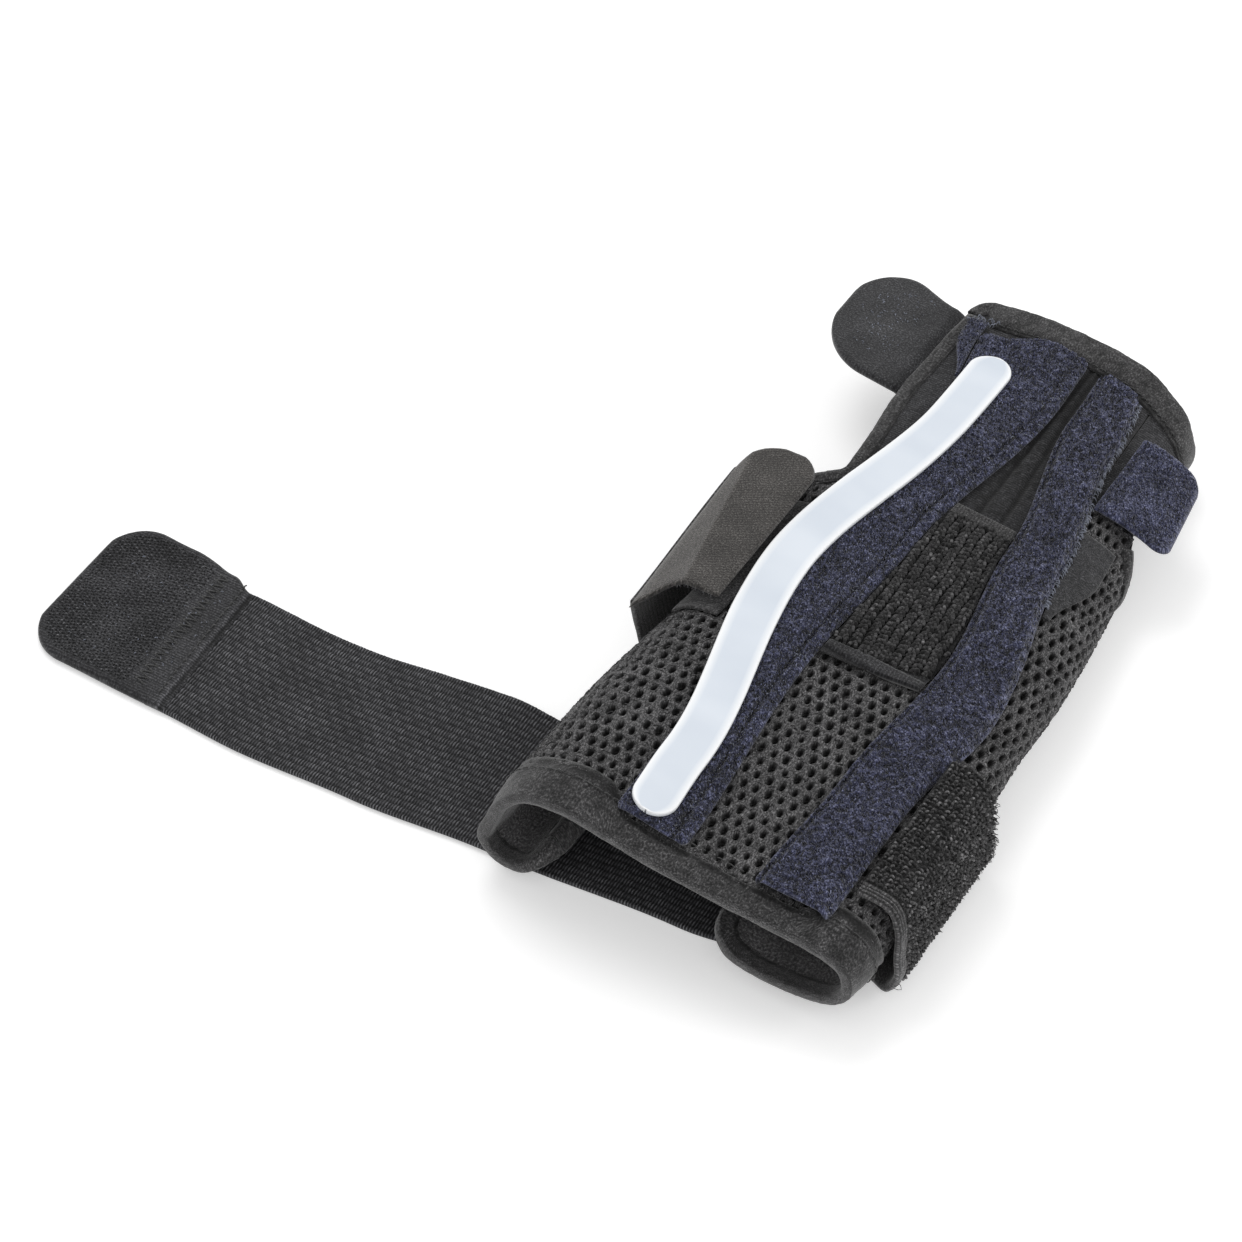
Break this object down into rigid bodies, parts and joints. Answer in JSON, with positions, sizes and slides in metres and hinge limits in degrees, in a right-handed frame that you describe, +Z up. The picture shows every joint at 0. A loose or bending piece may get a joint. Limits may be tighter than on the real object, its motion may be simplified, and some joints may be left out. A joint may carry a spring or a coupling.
{
  "type": "wrist splint",
  "caption": "Breathable wrist splint: an open wrapped mesh sleeve with bowed stay pockets, flat stays, and forearm, wrist and hand straps.",
  "frame": {"origin": "the centre of the splint's base on the surface it lies on, forearm strap laid out flat to one side", "axes": "+X across the forearm from the thumb side, where the forearm strap lies out, to the little-finger side; +Y along the forearm towards the fingers; +Z up, away from the back of the wrist"},
  "size_m": [0.2495, 0.225, 0.0392],
  "materials": {
    "spacer_mesh": "charcoal three-dimensional spacer mesh with long hexagonal holes",
    "lining": "soft dark brushed lining",
    "knit": "charcoal brushed smooth knit",
    "loop_pile": "very dark navy plush loop pile with pale flecks",
    "elastic": "charcoal woven ribbed elastic",
    "hook": "dark moulded hook tape",
    "stay": "pale blue-white satin plastic with a lighter bevelled edge"
  },
  "bodies": {
    "sleeve": {"mesh_left": "spacer_mesh", "mesh_middle": "spacer_mesh", "mesh_right": "spacer_mesh", "lining": "lining", "hand_panel": "knit", "palm_panel": "knit", "gusset_hem_lower": "knit", "gusset_hem_upper": "knit", "side_patch": "knit", "binding_forearm": "knit", "binding_thumb_side": "knit", "binding_right_wing": "knit", "binding_palm_wing": "knit", "binding_hand_end": "knit", "wrist_strap_seat": "knit", "hand_strap_base": "knit", "pocket_left": "loop_pile", "pocket_right": "loop_pile", "forearm_strap_anchor": "loop_pile", "gusset_elastic": "elastic", "forearm_strap_under": "elastic", "wrist_strap_band": "elastic", "stay_right": "stay"},
    "forearm_strap_inner": {"forearm_strap_inner": "elastic"},
    "forearm_strap_outer": {"forearm_strap_outer": "elastic"},
    "forearm_hook_tab": {"forearm_hook_tab": "knit", "forearm_hook_tape": "hook", "forearm_strap_seam": "elastic"},
    "wrist_tab": {"wrist_strap_tab": "elastic", "wrist_strap_hook": "hook"},
    "hand_tab": {"hand_strap_tab": "knit", "hand_strap_hook": "hook"},
    "loop_tab": {"hand_loop_tab": "loop_pile"},
    "loose_stay": {"stay_left": "stay"}
  },
  "joints": [
    {"name": "forearm_strap_fold", "type": "hinge", "parent": "sleeve", "child": "forearm_strap_inner", "pos_m": [0.0103, -0.084, 0.0016], "axis": [0, 1, 0], "range_deg": [0, 88]},
    {"name": "forearm_strap_wrap", "type": "hinge", "parent": "forearm_strap_inner", "child": "forearm_strap_outer", "pos_m": [-0.0327, -0.084, 0.0016], "axis": [0, 1, 0], "range_deg": [0, 92]},
    {"name": "forearm_hook_tab_bend", "type": "hinge", "parent": "forearm_strap_outer", "child": "forearm_hook_tab", "pos_m": [-0.0777, -0.084, 0.0016], "axis": [0, 1, 0], "range_deg": [0, 12.5]},
    {"name": "wrist_strap_peel", "type": "hinge", "parent": "sleeve", "child": "wrist_tab", "pos_m": [0.0208, -0.0015, 0.0352], "axis": [0, -1, 0], "range_deg": [0, 130]},
    {"name": "hand_strap_fold", "type": "hinge", "parent": "sleeve", "child": "hand_tab", "pos_m": [0.0323, 0.0885, 0.0252], "axis": [0, 1, 0], "range_deg": [0, 100]},
    {"name": "hand_loop_tab_peel", "type": "hinge", "parent": "sleeve", "child": "loop_tab", "pos_m": [0.1009, 0.06825, 0.0266], "axis": [0, -1, 0], "range_deg": [0, 110]},
    {"name": "stay_lift", "type": "slide", "parent": "sleeve", "child": "loose_stay", "axis": [0, 0, 1], "range_m": [0, 0.06]}
  ],
  "couplings": [
    {"joint": "forearm_strap_wrap", "follows": "forearm_strap_fold", "ratio": 1.0227},
    {"joint": "forearm_hook_tab_bend", "follows": "forearm_strap_fold", "ratio": 0.1363}
  ]
}
